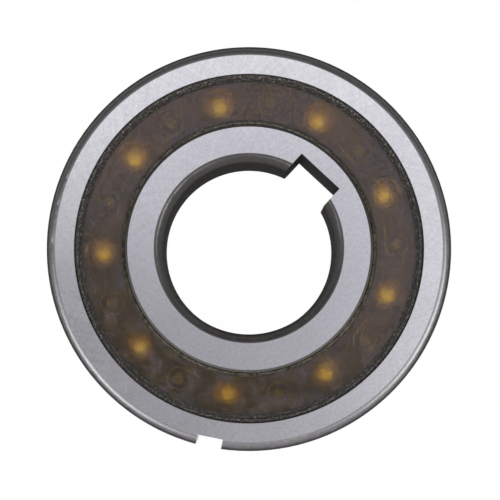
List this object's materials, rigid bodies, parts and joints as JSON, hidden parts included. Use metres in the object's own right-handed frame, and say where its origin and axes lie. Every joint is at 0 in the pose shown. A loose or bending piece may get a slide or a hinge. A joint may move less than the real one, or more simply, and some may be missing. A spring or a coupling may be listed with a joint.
{
  "type": "sprag clutch",
  "caption": "Overrunning sprag clutch that runs on its own balls: keyed inner and outer rings, caged balls and sprags, and amber dust shields.",
  "frame": {"origin": "on the rings' axis, at mid width", "axes": "+Z along the rings' axis out of the front face, +X through the middle of the bore's keyway at rest"},
  "size_m": [0.047, 0.047, 0.014],
  "materials": {
    "ring_steel": "hardened bearing steel, fine ground faces and bore",
    "ball_steel": "lapped and polished",
    "sprag_steel": "hardened steel, tumbled",
    "spring_wire": "drawn stainless spring wire",
    "shield_polymer": "moulded amber polymer, translucent, fine matt face",
    "cage_polymer": "moulded glass-filled polyamide, dark brown"
  },
  "bodies": {
    "outer_race": {"outer_ring": "ring_steel", "front_shield": "shield_polymer", "rear_shield": "shield_polymer"},
    "inner_race": {"inner_ring": "ring_steel"},
    "cage": {"cage_body": "cage_polymer", "cage_end_ring": "cage_polymer", "sprag_spring_1": "spring_wire", "sprag_spring_2": "spring_wire", "sprag_spring_3": "spring_wire", "sprag_spring_4": "spring_wire", "sprag_spring_5": "spring_wire", "sprag_spring_6": "spring_wire", "sprag_spring_7": "spring_wire", "sprag_spring_8": "spring_wire", "sprag_spring_9": "spring_wire"},
    "rolling_ball_1": {"ball_1": "ball_steel"},
    "rocking_sprag_1": {"sprag_1": "sprag_steel"},
    "rolling_ball_2": {"ball_2": "ball_steel"},
    "rocking_sprag_2": {"sprag_2": "sprag_steel"},
    "rolling_ball_3": {"ball_3": "ball_steel"},
    "rocking_sprag_3": {"sprag_3": "sprag_steel"},
    "rolling_ball_4": {"ball_4": "ball_steel"},
    "rocking_sprag_4": {"sprag_4": "sprag_steel"},
    "rolling_ball_5": {"ball_5": "ball_steel"},
    "rocking_sprag_5": {"sprag_5": "sprag_steel"},
    "rolling_ball_6": {"ball_6": "ball_steel"},
    "rocking_sprag_6": {"sprag_6": "sprag_steel"},
    "rolling_ball_7": {"ball_7": "ball_steel"},
    "rocking_sprag_7": {"sprag_7": "sprag_steel"},
    "rolling_ball_8": {"ball_8": "ball_steel"},
    "rocking_sprag_8": {"sprag_8": "sprag_steel"},
    "rolling_ball_9": {"ball_9": "ball_steel"},
    "rocking_sprag_9": {"sprag_9": "sprag_steel"}
  },
  "joints": [
    {"name": "inner_spin", "type": "hinge", "parent": "outer_race", "child": "inner_race", "pos_m": [0, 0, 0], "axis": [0, 0, 1], "continuous": true},
    {"name": "cage_spin", "type": "hinge", "parent": "outer_race", "child": "cage", "pos_m": [0, 0, 0], "axis": [0, 0, 1], "continuous": true},
    {"name": "ball_1_spin", "type": "hinge", "parent": "cage", "child": "rolling_ball_1", "pos_m": [0.01659, 0.00435, 0], "axis": [0, 0, 1], "continuous": true},
    {"name": "ball_2_spin", "type": "hinge", "parent": "cage", "child": "rolling_ball_2", "pos_m": [0.00991, 0.014, 0], "axis": [0, 0, 1], "continuous": true},
    {"name": "ball_3_spin", "type": "hinge", "parent": "cage", "child": "rolling_ball_3", "pos_m": [-0.00141, 0.01709, 0], "axis": [0, 0, 1], "continuous": true},
    {"name": "ball_4_spin", "type": "hinge", "parent": "cage", "child": "rolling_ball_4", "pos_m": [-0.01206, 0.01219, 0], "axis": [0, 0, 1], "continuous": true},
    {"name": "ball_5_spin", "type": "hinge", "parent": "cage", "child": "rolling_ball_5", "pos_m": [-0.01708, 0.00158, 0], "axis": [0, 0, 1], "continuous": true},
    {"name": "ball_6_spin", "type": "hinge", "parent": "cage", "child": "rolling_ball_6", "pos_m": [-0.0141, -0.00976, 0], "axis": [0, 0, 1], "continuous": true},
    {"name": "ball_7_spin", "type": "hinge", "parent": "cage", "child": "rolling_ball_7", "pos_m": [-0.00453, -0.01654, 0], "axis": [0, 0, 1], "continuous": true},
    {"name": "ball_8_spin", "type": "hinge", "parent": "cage", "child": "rolling_ball_8", "pos_m": [0.00717, -0.01558, 0], "axis": [0, 0, 1], "continuous": true},
    {"name": "ball_9_spin", "type": "hinge", "parent": "cage", "child": "rolling_ball_9", "pos_m": [0.01551, -0.00733, 0], "axis": [0, 0, 1], "continuous": true},
    {"name": "sprag_1_rock", "type": "hinge", "parent": "cage", "child": "rocking_sprag_1", "pos_m": [0.0141, 0.00976, 0], "axis": [0, 0, 1], "range_deg": [0, 8], "stiffness_Nm_per_rad": 0.006, "springref_deg": -11.46},
    {"name": "sprag_2_rock", "type": "hinge", "parent": "cage", "child": "rocking_sprag_2", "pos_m": [0.00453, 0.01654, 0], "axis": [0, 0, 1], "range_deg": [0, 8], "stiffness_Nm_per_rad": 0.006, "springref_deg": -11.46},
    {"name": "sprag_3_rock", "type": "hinge", "parent": "cage", "child": "rocking_sprag_3", "pos_m": [-0.00717, 0.01558, 0], "axis": [0, 0, 1], "range_deg": [0, 8], "stiffness_Nm_per_rad": 0.006, "springref_deg": -11.46},
    {"name": "sprag_4_rock", "type": "hinge", "parent": "cage", "child": "rocking_sprag_4", "pos_m": [-0.01551, 0.00733, 0], "axis": [0, 0, 1], "range_deg": [0, 8], "stiffness_Nm_per_rad": 0.006, "springref_deg": -11.46},
    {"name": "sprag_5_rock", "type": "hinge", "parent": "cage", "child": "rocking_sprag_5", "pos_m": [-0.01659, -0.00435, 0], "axis": [0, 0, 1], "range_deg": [0, 8], "stiffness_Nm_per_rad": 0.006, "springref_deg": -11.46},
    {"name": "sprag_6_rock", "type": "hinge", "parent": "cage", "child": "rocking_sprag_6", "pos_m": [-0.00991, -0.014, 0], "axis": [0, 0, 1], "range_deg": [0, 8], "stiffness_Nm_per_rad": 0.006, "springref_deg": -11.46},
    {"name": "sprag_7_rock", "type": "hinge", "parent": "cage", "child": "rocking_sprag_7", "pos_m": [0.00141, -0.01709, 0], "axis": [0, 0, 1], "range_deg": [0, 8], "stiffness_Nm_per_rad": 0.006, "springref_deg": -11.46},
    {"name": "sprag_8_rock", "type": "hinge", "parent": "cage", "child": "rocking_sprag_8", "pos_m": [0.01206, -0.01219, 0], "axis": [0, 0, 1], "range_deg": [0, 8], "stiffness_Nm_per_rad": 0.006, "springref_deg": -11.46},
    {"name": "sprag_9_rock", "type": "hinge", "parent": "cage", "child": "rocking_sprag_9", "pos_m": [0.01708, -0.00158, 0], "axis": [0, 0, 1], "range_deg": [0, 8], "stiffness_Nm_per_rad": 0.006, "springref_deg": -11.46}
  ],
  "couplings": [
    {"joint": "cage_spin", "follows": "inner_spin", "ratio": 0.40743},
    {"joint": "ball_1_spin", "follows": "inner_spin", "ratio": -2.6082},
    {"joint": "ball_2_spin", "follows": "inner_spin", "ratio": -2.6082},
    {"joint": "ball_3_spin", "follows": "inner_spin", "ratio": -2.6082},
    {"joint": "ball_4_spin", "follows": "inner_spin", "ratio": -2.6082},
    {"joint": "ball_5_spin", "follows": "inner_spin", "ratio": -2.6082},
    {"joint": "ball_6_spin", "follows": "inner_spin", "ratio": -2.6082},
    {"joint": "ball_7_spin", "follows": "inner_spin", "ratio": -2.6082},
    {"joint": "ball_8_spin", "follows": "inner_spin", "ratio": -2.6082},
    {"joint": "ball_9_spin", "follows": "inner_spin", "ratio": -2.6082},
    {"joint": "sprag_2_rock", "follows": "sprag_1_rock", "ratio": 1},
    {"joint": "sprag_3_rock", "follows": "sprag_1_rock", "ratio": 1},
    {"joint": "sprag_4_rock", "follows": "sprag_1_rock", "ratio": 1},
    {"joint": "sprag_5_rock", "follows": "sprag_1_rock", "ratio": 1},
    {"joint": "sprag_6_rock", "follows": "sprag_1_rock", "ratio": 1},
    {"joint": "sprag_7_rock", "follows": "sprag_1_rock", "ratio": 1},
    {"joint": "sprag_8_rock", "follows": "sprag_1_rock", "ratio": 1},
    {"joint": "sprag_9_rock", "follows": "sprag_1_rock", "ratio": 1}
  ]
}
